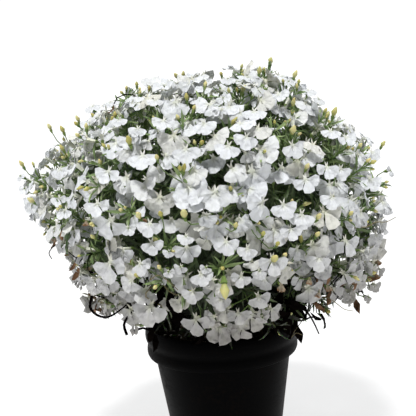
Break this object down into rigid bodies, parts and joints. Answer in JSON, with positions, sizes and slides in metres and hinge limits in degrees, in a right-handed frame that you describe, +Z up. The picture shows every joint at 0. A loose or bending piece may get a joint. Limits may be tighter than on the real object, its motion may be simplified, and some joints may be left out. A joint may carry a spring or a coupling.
{
  "type": "potted edging lobelia",
  "caption": "White edging lobelia in a round black nursery pot: a dense mound of small blooms, each with a three-lobed lip and two narrow upper lobes, over fine leafy stems.",
  "frame": {"origin": "centre of the pot's flat underside, on its upright axis", "axes": "+Z up along the pot's axis; the picture looks along +Y, so -Y is the side seen in it and +X is its right"},
  "size_m": [0.245, 0.241, 0.2748],
  "materials": {
    "black_plastic": "satin",
    "potting_soil": "rough, damp peat",
    "foliage": "semi-matt leaf",
    "petals": "soft matt petal"
  },
  "bodies": {
    "root": {"pot": "black_plastic", "soil": "potting_soil", "leafy_stem_01": "foliage", "blooms_01": "petals", "leafy_stem_02": "foliage", "blooms_02": "petals", "leafy_stem_03": "foliage", "blooms_03": "petals", "leafy_stem_04": "foliage", "blooms_04": "petals", "leafy_stem_05": "foliage", "blooms_05": "petals", "leafy_stem_06": "foliage", "blooms_06": "petals", "leafy_stem_07": "foliage", "blooms_07": "petals", "leafy_stem_08": "foliage", "blooms_08": "petals", "leafy_stem_09": "foliage", "blooms_09": "petals", "leafy_stem_10": "foliage", "blooms_10": "petals", "leafy_stem_11": "foliage", "blooms_11": "petals", "leafy_stem_12": "foliage", "blooms_12": "petals", "leafy_stem_13": "foliage", "blooms_13": "petals", "leafy_stem_14": "foliage", "blooms_14": "petals", "leafy_stem_15": "foliage", "blooms_15": "petals", "leafy_stem_16": "foliage", "blooms_16": "petals", "leafy_stem_17": "foliage", "blooms_17": "petals", "leafy_stem_18": "foliage", "blooms_18": "petals", "leafy_stem_19": "foliage", "blooms_19": "petals", "leafy_stem_20": "foliage", "blooms_20": "petals"}
  },
  "joints": []
}
